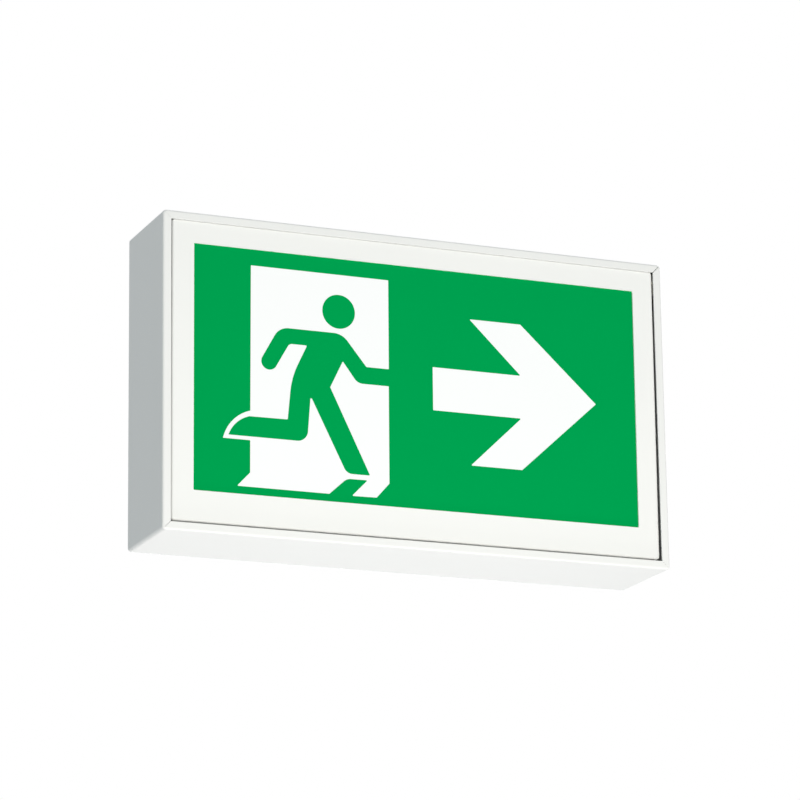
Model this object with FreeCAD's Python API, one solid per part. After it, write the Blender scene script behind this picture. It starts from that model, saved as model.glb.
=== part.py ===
import FreeCAD, Part
import math
import os

from FreeCAD import Placement, Rotation, Vector

# A wall-mounted emergency exit light: a folded steel box, a top-hinged door frame that holds the
# lit legend plate, and the gear that lights it.
#
# Millimetres. +Z is up, X runs along the wall and +Y points into the wall. The origin is the
# centre of the back face, which lies on the wall at Y = 0, so the light comes out towards -Y.

# ---- Driving dimensions ------------------------------------------------------------------------

# Housing
WIDTH = 340.0
HEIGHT = 202.0
DEPTH = 66.0
SHEET = 1.0
LIP = 5.3
FOLD_RADIUS = 1.4
CORNER_RADIUS = 2.4
MITRE_GAPS = {(-1, 1): 0.05, (1, 1): 0.35, (-1, -1): 0.2, (1, -1): 0.12}
FIXING_SPACING_X = 250.0
FIXING_SPACING_Z = 124.0
FIXING_RADIUS = 2.75
KNOCKOUT_SPACING_X = 130.0
KNOCKOUT_RADIUS = 10.2
KNOCKOUT_GROOVE = 0.5
KNOCKOUT_TAB = 3.0

# Door frame, measured shut and upright; its top tucks in behind the upper lip, and it then leans
# in at the foot by DOOR_RECESS
DOOR_SHEET = 1.0
DOOR_DEPTH = 9.0
DOOR_FOLD_RADIUS = 1.5
DOOR_CORNER_RADIUS = 2.0
DOOR_RETURN = 9.0
GAP_LEFT = 1.0
GAP_RIGHT = 0.45
TUCK_UP = 0.7
TUCK_BEHIND = 0.15
GAP_BOTTOM = 1.5
BORDER_SIDE = 14.3
BORDER_TOP = 14.6
BORDER_BOTTOM = 19.7
WINDOW_RADIUS = 0.5
DOOR_RECESS = 1.3

# Hinge
HINGE_BACK = 4.0
HINGE_DOWN = 6.3
PIN_RADIUS = 1.5
PIN_HEAD_RADIUS = 3.0
PIN_HEAD = 1.4
PIN_RUNNING_FIT = 0.05
BRACKET_SHEET = 1.5
BRACKET_STANDOFF = 4.0
BRACKET_LENGTH = 11.0
BRACKET_ABOVE = 4.6
BRACKET_BELOW = 8.0
BRACKET_FOOT = 11.0
BRACKET_BEND = 1.0

# Legend plate and the strips that clamp it to the door
PLATE = 3.0
PLATE_LAP = 6.0
FILM_ROOM = 0.2
STRIP_SHEET = 0.8
STRIP_LENGTH = 292.0
STRIP_LAP = 4.4
STRIP_FOOT = 5.6
STRIP_PLAY = 0.2
STUD_COUNT = 4
STUD_PITCH = 88.0
STUD_RADIUS = 1.5
STUD_LENGTH = 4.8
M3_NUT_FLATS = 5.5
M3_NUT = 2.4

# Magnetic catches under the foot of the door
CATCH_SPACING = 190.0
CATCH_WIDTH = 34.0
CATCH_HEIGHT = 13.5
CATCH_DEPTH = 13.0
CATCH_PLAY = 0.3
MAGNET_WIDTH = 20.0
MAGNET_HEIGHT = 7.0
MAGNET_PROUD = 0.8
MAGNET_UP = 4.5

# Gear tray, the white plate that carries the light strips
TRAY_FRONT = 31.0
TRAY_SHEET = 0.8
TRAY_RETURN = 8.0
TRAY_SIDE_GAP = 15.0
TRAY_OVER_CATCH = 0.5
TRAY_RADIUS = 3.0
PILLAR_INSET_X = 14.0
PILLAR_INSET_Z = 12.0
PILLAR_FLATS = 7.0
M4_RADIUS = 2.0
M4_HEAD_RADIUS = 4.0
M4_HEAD = 2.6
M4_LENGTH = 9.0
LEAD_HOLE_RADIUS = 4.0
LEAD_HOLE_INSET = 7.0
TRAY_GROMMET_BORE = 3.1
TRAY_GROMMET_FLANGE_RADIUS = 5.2
TRAY_GROMMET_FLANGE = 0.9

# Light strips
BOARD_HEIGHT = 12.0
BOARD_THICKNESS = 1.6
BOARD_INSET = 15.0
BOARD_ROW = 39.0
LIGHT_COUNT = 7
LIGHT_PITCH = 41.0
CHIP_SIZE = (3.5, 0.8, 2.8)
LENS_RADIUS = 5.5
LENS_HEIGHT = 5.0
LENS_RIM = 1.2
LENS_HOLLOW_RADIUS = 3.0
LENS_HOLLOW = 1.8
M3_RADIUS = 1.5
M3_HEAD_RADIUS = 2.75
M3_HEAD = 1.9
CONNECTOR_SIZE = (5.0, 5.5, 7.0)
CONNECTOR_INSET = 1.0

# Battery stick and its spring clips
CELL_RADIUS = 11.25
CELL_LENGTH = 42.5
CELL_COUNT = 3
CELL_NECK = 0.6
BATTERY_FROM_TRAY_SIDE = 36.0
BATTERY_FROM_TRAY_FOOT = 24.0
CLIP_SHEET = 0.8
CLIP_WIDTH = 14.0
CLIP_MOUTH_DEGREES = 96.0
CLIP_LIP = 3.0

# Converter, the electronics that charge the battery and feed the lights
CONVERTER_SIZE = (150.0, 20.0, 36.0)
CONVERTER_LID = 2.5
CONVERTER_RADIUS = 3.0
CONVERTER_EAR = 9.0
CONVERTER_EAR_THICKNESS = 3.0
CONVERTER_EAR_HEIGHT = 14.0
CONVERTER_FROM_TRAY_SIDE = 46.0
CONVERTER_FROM_TRAY_TOP = 42.0

# Mains terminal block and earth stud
POLE_COUNT = 4
POLE_PITCH = 10.5
POLE_BODY = 8.3
BLOCK_WIDTH = 18.0
BLOCK_BASE = 4.0
BLOCK_DEPTH = 17.0
BLOCK_FROM_TRAY_SIDE = 80.0
BLOCK_UP = 15.0
CABLE_HOLE_RADIUS = 2.2
CABLE_HOLE_DEPTH = 7.0
CLAMP_SCREW_RADIUS = 1.7
CLAMP_SCREW_DEPTH = 5.0
EARTH_FROM_TRAY_SIDE = 34.0
EARTH_STUD_LENGTH = 14.0
M4_NUT_FLATS = 7.0
M4_NUT = 3.2
WASHER = 0.8
WASHER_RADIUS = 4.5
TAG = 0.8
TAG_RADIUS = 4.0
TAG_REACH = 7.0

# Cable entries
ENTRY_RADIUS = 8.0
GROMMET_BORE = 5.5
GROMMET_FLANGE_RADIUS = 10.5
GROMMET_FLANGE = 1.6
TOP_ENTRY_RADIUS = 10.2
TOP_ENTRY_X = 100.0
TOP_ENTRY_BACK = 24.0
PLUG_FLANGE_RADIUS = 12.5
PLUG_FLANGE = 1.6
PLUG_SKIRT = 6.0
PLUG_WALL = 1.5

# Test switch and status light on the right-hand wall
SWITCH_BACK = 14.0
SWITCH_DOWN = 34.0
SWITCH_RADIUS = 5.9
SWITCH_BEZEL_RADIUS = 7.5
SWITCH_BEZEL = 1.8
SWITCH_LENGTH = 20.0
SWITCH_NUT_FLATS = 15.0
SWITCH_NUT = 3.0
SWITCH_LUG = (5.0, 0.8, 2.4)
SWITCH_LUG_PITCH = 6.0
BUTTON_RADIUS = 3.6
BUTTON_PROUD = 4.0
BUTTON_STEM = 9.0
BUTTON_RUNNING_FIT = 0.08
BUTTON_TRAVEL = 2.5
STATUS_DOWN = 60.0
STATUS_RADIUS = 2.5
STATUS_PROUD = 2.4
HOLDER_RADIUS = 4.0
HOLDER_FLANGE_RADIUS = 5.5
HOLDER_FLANGE = 1.2
HOLDER_LENGTH = 9.0
STATUS_LEG_PITCH = 2.5

# Leads inside the housing
LEAD_RADIUS = 0.9
FINE_LEAD_RADIUS = 0.65

# ---- Planes and centres worked out from them ----------------------------------------------------

FRONT = -DEPTH
WALL_X = WIDTH / 2 - SHEET
WALL_Z = HEIGHT / 2 - SHEET
BACK = -SHEET
OPENING_X = WIDTH / 2 - LIP
OPENING_Z = HEIGHT / 2 - LIP

DOOR_LEFT = -OPENING_X + GAP_LEFT
DOOR_RIGHT = OPENING_X - GAP_RIGHT
DOOR_TOP = OPENING_Z + TUCK_UP
DOOR_FOOT = -OPENING_Z + GAP_BOTTOM
DOOR_FRONT = FRONT + SHEET + TUCK_BEHIND
DOOR_REAR = DOOR_FRONT + DOOR_DEPTH
WINDOW_X = (DOOR_LEFT + BORDER_SIDE, DOOR_RIGHT - BORDER_SIDE)
WINDOW_Z = (DOOR_FOOT + BORDER_BOTTOM, DOOR_TOP - BORDER_TOP)
HINGE_Y = DOOR_FRONT + HINGE_BACK
HINGE_Z = DOOR_TOP - HINGE_DOWN
LEAN_DEGREES = math.degrees(math.asin(DOOR_RECESS / (HINGE_Z - DOOR_FOOT)))
PLATE_FRONT = DOOR_FRONT + DOOR_SHEET + FILM_ROOM

TRAY_X = WALL_X - TRAY_SIDE_GAP
TRAY_Z = WALL_Z - CATCH_HEIGHT - TRAY_OVER_CATCH
TRAY_FACE = -TRAY_FRONT
TRAY_BACK = TRAY_FACE + TRAY_SHEET
BOARD_FACE = TRAY_FACE - BOARD_THICKNESS
BOARD_X = TRAY_X - BOARD_INSET
BOARD_ROWS = [sum(WINDOW_Z) / 2 + BOARD_ROW, sum(WINDOW_Z) / 2 - BOARD_ROW]
PILLAR_X = TRAY_X - PILLAR_INSET_X
PILLAR_Z = TRAY_Z - PILLAR_INSET_Z
LEAD_HOLE_X = -TRAY_X + LEAD_HOLE_INSET

BATTERY_X = -TRAY_X + BATTERY_FROM_TRAY_SIDE
BATTERY_Y = BACK - CLIP_SHEET - CELL_RADIUS
BATTERY_Z = -TRAY_Z + BATTERY_FROM_TRAY_FOOT
CONVERTER_X = -TRAY_X + CONVERTER_FROM_TRAY_SIDE
CONVERTER_Z = TRAY_Z - CONVERTER_FROM_TRAY_TOP
BLOCK_X = TRAY_X - BLOCK_FROM_TRAY_SIDE
BLOCK_FACE = BACK - BLOCK_DEPTH
EARTH_X = TRAY_X - EARTH_FROM_TRAY_SIDE
SWITCH_CENTRE = Vector(WIDTH / 2, -SWITCH_BACK, -SWITCH_DOWN)
STATUS_CENTRE = Vector(WIDTH / 2, -SWITCH_BACK, -STATUS_DOWN)

LEFT = Vector(-1, 0, 0)
RIGHT = Vector(1, 0, 0)
OUT = Vector(0, -1, 0)
INTO_WALL = Vector(0, 1, 0)
UP = Vector(0, 0, 1)
DOWN = Vector(0, 0, -1)


# ---- Small modelling helpers ---------------------------------------------------------------------

def block(x_range, y_range, z_range):
    """A square-edged block between two values on each axis."""
    size = [high - low for low, high in (x_range, y_range, z_range)]
    return Part.makeBox(*size, Vector(x_range[0], y_range[0], z_range[0]))


def rod(start, direction, length, radius):
    return Part.makeCylinder(radius, length, start, direction)


def tube(start, direction, length, radius, bore):
    return rod(start, direction, length, radius).cut(rod(start, direction, length, bore))


def prism(points, along):
    """A closed polygon, swept in a straight line."""
    return Part.Face(Part.makePolygon(points + points[:1])).extrude(along)


def hexagon(centre, flats, along):
    """A hexagonal bar with its axis along Y."""
    radius = flats / math.sqrt(3)
    corners = []
    for step in range(6):
        angle = math.radians(60 * step)
        corners.append(centre + Vector(radius * math.cos(angle), 0, radius * math.sin(angle)))
    return prism(corners, along)


def fillet(solid, radius, wanted):
    """Rounds the edges that the test picks."""
    return solid.makeFillet(radius, [edge for edge in solid.Edges if wanted(edge)])


def runs_along(direction):
    def test(edge):
        return abs(edge.tangentAt(edge.FirstParameter).dot(direction)) > 0.999
    return test


def lies_at_y(y):
    def test(edge):
        return all(abs(vertex.Point.y - y) < 1e-6 for vertex in edge.Vertexes)
    return test


def folded_box(x_range, y_range, z_range, corner_radius, fold_radius, folded_planes):
    """A block with rounded upright corners, and a bend round its rim at each plane of Y named."""
    solid = fillet(block(x_range, y_range, z_range), corner_radius, runs_along(OUT))
    for y in folded_planes:
        solid = fillet(solid, fold_radius, lies_at_y(y))
    return solid


def screw(seat, shank_radius, shank, head_radius, head):
    """A pan-head screw driven towards the wall, its head seated on a point and a cross in it."""
    dome = rod(seat, OUT, head, head_radius)
    rim = [edge for edge in dome.Edges if lies_at_y(seat.y - head)(edge)]
    dome = dome.makeChamfer(head * 0.4, rim)
    cross_width = head_radius * 0.26
    cross_reach = head_radius * 0.5
    cross_y = (seat.y - head, seat.y - head * 0.45)
    for reach_x, reach_z in ((cross_reach, cross_width / 2), (cross_width / 2, cross_reach)):
        arm = block((seat.x - reach_x, seat.x + reach_x), cross_y, (seat.z - reach_z, seat.z + reach_z))
        dome = dome.cut(arm)
    return dome.fuse(rod(seat, INTO_WALL, shank, shank_radius))


def nut(seat, flats, thickness, bore):
    """A hexagon nut seated on a point and standing out from the wall."""
    bar = hexagon(seat, flats, OUT * thickness)
    return bar.cut(rod(seat, OUT, thickness, bore))


def lead(points, radius):
    """A round lead: straight runs joined by arcs as large as the runs allow."""
    edges = []
    start = points[0]
    bends = []
    for before, corner, after in zip(points, points[1:], points[2:]):
        way_in = (corner - before).normalize()
        way_out = (after - corner).normalize()
        half_turn = way_in.getAngle(way_out) / 2
        shorter = min((corner - before).Length, (after - corner).Length)
        trim = 0.45 * shorter
        bend = trim / math.tan(half_turn)
        bends.append(bend)
        first = corner - way_in * trim
        last = corner + way_out * trim
        inward = (way_out - way_in).normalize()
        middle = corner + inward * (bend / math.cos(half_turn) - bend)
        edges.append(Part.LineSegment(start, first).toShape())
        edges.append(Part.Arc(first, middle, last).toShape())
        start = last
    edges.append(Part.LineSegment(start, points[-1]).toShape())
    path = Part.Wire(edges)
    section = Part.Wire(Part.makeCircle(radius, points[0], points[1] - points[0]))
    solid = path.makePipeShell([section], True, True)
    swept = path.Length * math.pi * radius ** 2
    print(f"  lead: {path.Length:.0f} mm, tightest bend {min(bends):.1f} mm, volume {solid.Volume / swept:.4f}")
    return solid


def lean(shape):
    """Leans a piece of the shut door in at the foot, about the hinge axis."""
    leant = shape.copy()
    leant.rotate(Vector(0, HINGE_Y, HINGE_Z), RIGHT, LEAN_DEGREES)
    return leant


def save(name, *solids):
    for solid in solids:
        if not solid.isValid() or solid.Volume <= 0 or len(solid.Solids) != 1:
            raise ValueError(f"{name} isn't made of closed solids")
    shape = solids[0].Solids[0]
    if len(solids) > 1:
        shape = Part.makeCompound([solid.Solids[0] for solid in solids])
    shape.exportStep(os.path.join("parts", name + ".step"))


def mirrored(shape):
    """The same piece on the other side of the X = 0 plane."""
    return shape.mirror(Vector(0, 0, 0), RIGHT)


# ---- Housing --------------------------------------------------------------------------------------

def fixing_points():
    return [Vector(side * FIXING_SPACING_X / 2, 0, end * FIXING_SPACING_Z / 2)
            for end in (1, -1) for side in (-1, 1)]


def knockout_grooves():
    """The part-sheared rings of two spare cable entries in the back, each held by two tabs."""
    grooves = []
    for side in (-1, 1):
        centre = Vector(side * KNOCKOUT_SPACING_X / 2, 0, 0)
        ring = tube(centre, OUT, KNOCKOUT_GROOVE, KNOCKOUT_RADIUS, KNOCKOUT_RADIUS - KNOCKOUT_GROOVE)
        tabs = block((centre.x - KNOCKOUT_TAB / 2, centre.x + KNOCKOUT_TAB / 2), (-SHEET, 0),
                     (-2 * KNOCKOUT_RADIUS, 2 * KNOCKOUT_RADIUS))
        grooves.append(ring.cut(tabs))
    return grooves


def mitre_cut(side, end):
    """The hairline where two front lips meet at a corner, short of the bend."""
    reach = (LIP - FOLD_RADIUS) * math.sqrt(2)
    half_gap = MITRE_GAPS[side, end] / 2
    slit = block((-reach, reach), (FRONT - SHEET, FRONT + 2 * SHEET), (-half_gap, half_gap))
    slit.rotate(Vector(0, 0, 0), OUT, 45 * side * end)
    slit.translate(Vector(side * OPENING_X, 0, end * OPENING_Z))
    return slit


def housing():
    """One steel sheet folded into a back, four walls and four narrow lips round the front."""
    outside = folded_box((-WIDTH / 2, WIDTH / 2), (FRONT, 0), (-HEIGHT / 2, HEIGHT / 2),
                         CORNER_RADIUS, FOLD_RADIUS, (FRONT, 0))
    inside = folded_box((-WALL_X, WALL_X), (FRONT + SHEET, BACK), (-WALL_Z, WALL_Z),
                        CORNER_RADIUS - SHEET, FOLD_RADIUS - SHEET, (FRONT + SHEET, BACK))
    shell = outside.cut(inside)
    shell = shell.cut(block((-OPENING_X, OPENING_X), (FRONT - SHEET, FRONT + 2 * SHEET),
                            (-OPENING_Z, OPENING_Z)))
    for side in (-1, 1):
        for end in (-1, 1):
            shell = shell.cut(mitre_cut(side, end))
    for groove in knockout_grooves():
        shell = shell.cut(groove)
    for point in fixing_points():
        shell = shell.cut(rod(point, OUT, 2 * SHEET, FIXING_RADIUS))
    shell = shell.cut(rod(Vector(0, 0, 0), OUT, 2 * SHEET, ENTRY_RADIUS))
    shell = shell.cut(rod(Vector(TOP_ENTRY_X, -TOP_ENTRY_BACK, HEIGHT / 2), DOWN, 2 * SHEET,
                          TOP_ENTRY_RADIUS))
    shell = shell.cut(rod(SWITCH_CENTRE, LEFT, 2 * SHEET, SWITCH_RADIUS))
    shell = shell.cut(rod(STATUS_CENTRE, LEFT, 2 * SHEET, HOLDER_RADIUS))
    save("housing", shell)


def cable_entries():
    """A rubber grommet in the back and a push-in plug in the top wall's spare entry."""
    start = Vector(0, GROMMET_FLANGE - SHEET - GROMMET_FLANGE, 0)
    neck = rod(Vector(0, 0, 0), OUT, SHEET, ENTRY_RADIUS)
    flange = rod(start, OUT, GROMMET_FLANGE, GROMMET_FLANGE_RADIUS)
    flange = fillet(flange, GROMMET_FLANGE * 0.6, lies_at_y(BACK - GROMMET_FLANGE))
    body = neck.fuse(flange)
    save("cable_grommet", body.cut(rod(Vector(0, 0, 0), OUT, 3 * GROMMET_FLANGE, GROMMET_BORE)))

    seat = Vector(TOP_ENTRY_X, -TOP_ENTRY_BACK, HEIGHT / 2)
    cap = rod(seat, UP, PLUG_FLANGE, PLUG_FLANGE_RADIUS)
    cap = cap.makeFillet(PLUG_FLANGE * 0.6, [edge for edge in cap.Edges
                                             if edge.BoundBox.ZMin > seat.z + PLUG_FLANGE - 0.01])
    skirt = tube(seat, DOWN, PLUG_SKIRT, TOP_ENTRY_RADIUS, TOP_ENTRY_RADIUS - PLUG_WALL)
    save("top_entry_plug", cap.fuse(skirt))


# ---- Hinge and door -------------------------------------------------------------------------------

def hinge_brackets():
    """Two joggled steel lugs, spot-welded inside the side walls, that the door's pins turn in."""
    lug = WALL_X - BRACKET_STANDOFF
    joggle = BRACKET_STANDOFF - BRACKET_SHEET
    slope = BRACKET_SHEET * math.tan(math.radians(22.5))
    knee = HINGE_Z - BRACKET_BELOW
    outline = [(lug, HINGE_Z + BRACKET_ABOVE),
               (lug + BRACKET_SHEET, HINGE_Z + BRACKET_ABOVE),
               (lug + BRACKET_SHEET, knee),
               (WALL_X, knee - joggle),
               (WALL_X, knee - joggle - BRACKET_FOOT),
               (WALL_X - BRACKET_SHEET, knee - joggle - BRACKET_FOOT),
               (WALL_X - BRACKET_SHEET, knee - joggle - slope),
               (lug, knee - slope)]
    front = HINGE_Y - PIN_RADIUS - SHEET
    plate = prism([Vector(x, front, z) for x, z in outline], INTO_WALL * BRACKET_LENGTH)
    plate = plate.makeFillet(BRACKET_BEND, [
        edge for edge in plate.Edges if runs_along(OUT)(edge)
        and knee - joggle - BRACKET_SHEET < edge.BoundBox.ZMin < knee + 0.1])
    hole = rod(Vector(lug - 1, HINGE_Y, HINGE_Z), RIGHT, BRACKET_SHEET + 2, PIN_RADIUS + PIN_RUNNING_FIT)
    plate = plate.cut(hole)
    save("hinge_brackets", plate, mirrored(plate))


def door_frame():
    """One steel sheet folded into a shallow tray, with the window cut out of its face."""
    outside = folded_box((DOOR_LEFT, DOOR_RIGHT), (DOOR_FRONT, DOOR_REAR), (DOOR_FOOT, DOOR_TOP),
                         DOOR_CORNER_RADIUS, DOOR_FOLD_RADIUS, (DOOR_FRONT,))
    inner_x = (DOOR_LEFT + DOOR_SHEET, DOOR_RIGHT - DOOR_SHEET)
    inner_z = (DOOR_FOOT + DOOR_SHEET, DOOR_TOP - DOOR_SHEET)
    inside = folded_box(inner_x, (DOOR_FRONT + DOOR_SHEET, DOOR_REAR + DOOR_SHEET), inner_z,
                        DOOR_CORNER_RADIUS - DOOR_SHEET, DOOR_FOLD_RADIUS - DOOR_SHEET,
                        (DOOR_FRONT + DOOR_SHEET,))
    frame = outside.cut(inside)
    window = fillet(block(WINDOW_X, (DOOR_FRONT - DOOR_SHEET, DOOR_FRONT + 2 * DOOR_SHEET), WINDOW_Z),
                    WINDOW_RADIUS, runs_along(OUT))
    frame = frame.cut(window)
    turned_up = block(inner_x, (DOOR_REAR - DOOR_SHEET, DOOR_REAR), (inner_z[0], DOOR_FOOT + DOOR_RETURN))
    frame = frame.fuse(turned_up).removeSplitter()
    frame = frame.cut(rod(Vector(DOOR_LEFT - 1, HINGE_Y, HINGE_Z), RIGHT,
                          DOOR_RIGHT - DOOR_LEFT + 2, PIN_RADIUS))
    save("door_frame", lean(frame))


def hinge_pins():
    """Two headed pins, fitted from inside the door's side flanges once the door is in place."""
    reach = WALL_X - BRACKET_STANDOFF + BRACKET_SHEET + 1.0
    pins = []
    for flange, way in ((DOOR_LEFT, LEFT), (DOOR_RIGHT, RIGHT)):
        seat = Vector(flange, HINGE_Y, HINGE_Z) - way * DOOR_SHEET
        head = rod(seat, way * -1, PIN_HEAD, PIN_HEAD_RADIUS)
        shank = rod(seat, way, reach - abs(seat.x), PIN_RADIUS)
        pin = head.fuse(shank)
        tips = [edge for edge in pin.Edges if abs(abs(edge.BoundBox.XMin) - reach) < 0.01]
        pins.append(lean(pin.makeChamfer(0.4, [edge for edge in tips if len(edge.Vertexes) == 1])))
    save("hinge_pins", *pins)


def legend_plate():
    """The opal acrylic sheet that glows behind the window."""
    plate = block((WINDOW_X[0] - PLATE_LAP, WINDOW_X[1] + PLATE_LAP), (PLATE_FRONT, PLATE_FRONT + PLATE),
                  (WINDOW_Z[0] - PLATE_LAP, WINDOW_Z[1] + PLATE_LAP))
    save("legend_plate", lean(plate))


def strip_stud_z(end):
    """The height of the studs beyond the plate's top edge (end = 1) or foot (end = -1)."""
    edge = WINDOW_Z[1] + PLATE_LAP if end > 0 else WINDOW_Z[0] - PLATE_LAP
    return edge + end * (STRIP_PLAY + STRIP_SHEET + STRIP_FOOT / 2)


def strip_centre_x():
    return sum(WINDOW_X) / 2


def retaining_strip(end):
    """A Z-section strip: its foot lies on the door's face and its other leg presses on the plate."""
    edge = WINDOW_Z[1] + PLATE_LAP if end > 0 else WINDOW_Z[0] - PLATE_LAP
    seat = DOOR_FRONT + DOOR_SHEET
    plate_back = PLATE_FRONT + PLATE
    riser = edge + end * STRIP_PLAY
    outline = [(seat, riser),
               (plate_back, riser),
               (plate_back, edge - end * STRIP_LAP),
               (plate_back + STRIP_SHEET, edge - end * STRIP_LAP),
               (plate_back + STRIP_SHEET, riser + end * STRIP_SHEET),
               (seat + STRIP_SHEET, riser + end * STRIP_SHEET),
               (seat + STRIP_SHEET, riser + end * (STRIP_SHEET + STRIP_FOOT)),
               (seat, riser + end * (STRIP_SHEET + STRIP_FOOT))]
    left = strip_centre_x() - STRIP_LENGTH / 2
    strip = prism([Vector(left, y, z) for y, z in outline], RIGHT * STRIP_LENGTH)
    for point in stud_points(end):
        strip = strip.cut(rod(point, INTO_WALL, STRIP_SHEET, STUD_RADIUS))
    return lean(strip)


def stud_points(end):
    first = strip_centre_x() - STUD_PITCH * (STUD_COUNT - 1) / 2
    return [Vector(first + STUD_PITCH * number, DOOR_FRONT + DOOR_SHEET, strip_stud_z(end))
            for number in range(STUD_COUNT)]


def plate_fixings():
    """Two strips that clamp the legend plate, on studs welded to the back of the door's face."""
    save("retaining_strip_upper", retaining_strip(1))
    save("retaining_strip_lower", retaining_strip(-1))
    studs = []
    nuts = []
    for end in (1, -1):
        for point in stud_points(end):
            studs.append(lean(rod(point, INTO_WALL, STUD_LENGTH, STUD_RADIUS)))
            outer = point + INTO_WALL * (STRIP_SHEET + M3_NUT)
            nuts.append(lean(nut(outer, M3_NUT_FLATS, M3_NUT, STUD_RADIUS)))
    save("door_studs", *studs)
    save("strip_nuts", *nuts)


def magnetic_catches():
    """Two moulded catches on the bottom wall, each with a magnet that the door's foot closes on."""
    lowest_return = Vector(0, DOOR_REAR - HINGE_Y, DOOR_FOOT - HINGE_Z)
    leant = Rotation(RIGHT, LEAN_DEGREES).multVec(lowest_return)
    magnet_face = HINGE_Y + leant.y + CATCH_PLAY
    body_face = magnet_face + MAGNET_PROUD
    bodies = []
    magnets = []
    for side in (-1, 1):
        centre = side * CATCH_SPACING / 2
        body = block((centre - CATCH_WIDTH / 2, centre + CATCH_WIDTH / 2),
                     (body_face, body_face + CATCH_DEPTH), (-WALL_Z, -WALL_Z + CATCH_HEIGHT))
        body = fillet(body, 2.0, runs_along(OUT))
        magnet_z = (-WALL_Z + MAGNET_UP, -WALL_Z + MAGNET_UP + MAGNET_HEIGHT)
        magnet = block((centre - MAGNET_WIDTH / 2, centre + MAGNET_WIDTH / 2),
                       (magnet_face, body_face + CATCH_DEPTH / 2), magnet_z)
        bodies.append(body.cut(magnet))
        magnets.append(magnet)
    save("catch_bodies", *bodies)
    save("catch_magnets", *magnets)


# ---- Gear tray and light strips -------------------------------------------------------------------

def pillar_points():
    return [Vector(side * PILLAR_X, BACK, end * PILLAR_Z) for end in (1, -1) for side in (-1, 1)]


def board_screw_points(row):
    """Screws at both ends of a strip and in its middle gap."""
    places = [-LIGHT_PITCH * 1.5, LIGHT_PITCH * 1.5]
    return [Vector(x, BOARD_FACE, row) for x in places]


def light_points():
    first = -LIGHT_PITCH * (LIGHT_COUNT - 1) / 2
    return [Vector(first + LIGHT_PITCH * number, BOARD_FACE, row)
            for row in BOARD_ROWS for number in range(LIGHT_COUNT)]


def gear_tray():
    """A white folded plate on four pillars, which also throws the light forwards."""
    outside = folded_box((-TRAY_X, TRAY_X), (TRAY_FACE, TRAY_FACE + TRAY_RETURN), (-TRAY_Z, TRAY_Z),
                         TRAY_RADIUS, FOLD_RADIUS, (TRAY_FACE,))
    inside = folded_box((-TRAY_X + TRAY_SHEET, TRAY_X - TRAY_SHEET),
                        (TRAY_BACK, TRAY_FACE + TRAY_RETURN + TRAY_SHEET),
                        (-TRAY_Z + TRAY_SHEET, TRAY_Z - TRAY_SHEET),
                        TRAY_RADIUS - TRAY_SHEET, FOLD_RADIUS - TRAY_SHEET, (TRAY_BACK,))
    tray = outside.cut(inside)
    for point in pillar_points():
        tray = tray.cut(rod(Vector(point.x, TRAY_BACK, point.z), OUT, 2 * TRAY_SHEET, M4_RADIUS))
    for row in BOARD_ROWS:
        tray = tray.cut(rod(Vector(LEAD_HOLE_X, TRAY_BACK, row), OUT, 2 * TRAY_SHEET, LEAD_HOLE_RADIUS))
        for point in board_screw_points(row):
            tray = tray.cut(rod(Vector(point.x, TRAY_BACK, row), OUT, 2 * TRAY_SHEET, M3_RADIUS))
    save("gear_tray", tray)


def tray_grommets():
    """A rubber ring in each lead hole, with a lip on both faces of the tray."""
    rings = []
    for row in BOARD_ROWS:
        start = Vector(LEAD_HOLE_X, TRAY_BACK + TRAY_GROMMET_FLANGE, row)
        front_lip = Vector(LEAD_HOLE_X, TRAY_FACE, row)
        length = TRAY_SHEET + 2 * TRAY_GROMMET_FLANGE
        neck = rod(start, OUT, length, LEAD_HOLE_RADIUS)
        rear = rod(start, OUT, TRAY_GROMMET_FLANGE, TRAY_GROMMET_FLANGE_RADIUS)
        front = rod(front_lip, OUT, TRAY_GROMMET_FLANGE, TRAY_GROMMET_FLANGE_RADIUS)
        rear = fillet(rear, TRAY_GROMMET_FLANGE * 0.6, lies_at_y(start.y))
        front = fillet(front, TRAY_GROMMET_FLANGE * 0.6, lies_at_y(front_lip.y - TRAY_GROMMET_FLANGE))
        ring = neck.fuse(rear).fuse(front)
        rings.append(ring.cut(rod(start, OUT, length, TRAY_GROMMET_BORE)))
    save("tray_grommets", *rings)


def tray_mounting():
    """Four hexagonal pillars welded to the back, and the screws that hold the tray on them."""
    pillars = []
    screws = []
    for point in pillar_points():
        pillar = hexagon(point, PILLAR_FLATS, OUT * (BACK - TRAY_BACK))
        seat = Vector(point.x, TRAY_FACE, point.z)
        pillars.append(pillar.cut(rod(seat, INTO_WALL, M4_LENGTH, M4_RADIUS)))
        screws.append(screw(seat, M4_RADIUS, M4_LENGTH, M4_HEAD_RADIUS, M4_HEAD))
    save("tray_pillars", *pillars)
    save("tray_screws", *screws)


def light_board(row):
    board = block((-BOARD_X, BOARD_X), (BOARD_FACE, TRAY_FACE), (row - BOARD_HEIGHT / 2, row + BOARD_HEIGHT / 2))
    for point in board_screw_points(row):
        board = board.cut(rod(point, INTO_WALL, BOARD_THICKNESS, M3_RADIUS))
    return board


def light_lens(seat):
    """A clear dome over one light: a cap of a sphere on a short rim, hollow underneath."""
    cap = LENS_HEIGHT - LENS_RIM
    sphere_radius = (LENS_RADIUS ** 2 + cap ** 2) / (2 * cap)
    crown = seat + OUT * LENS_HEIGHT
    lens = Part.makeSphere(sphere_radius, crown + INTO_WALL * sphere_radius)
    lens = lens.common(rod(seat, OUT, LENS_HEIGHT, LENS_RADIUS))
    return lens.cut(rod(seat, OUT, LENS_HOLLOW, LENS_HOLLOW_RADIUS))


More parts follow.
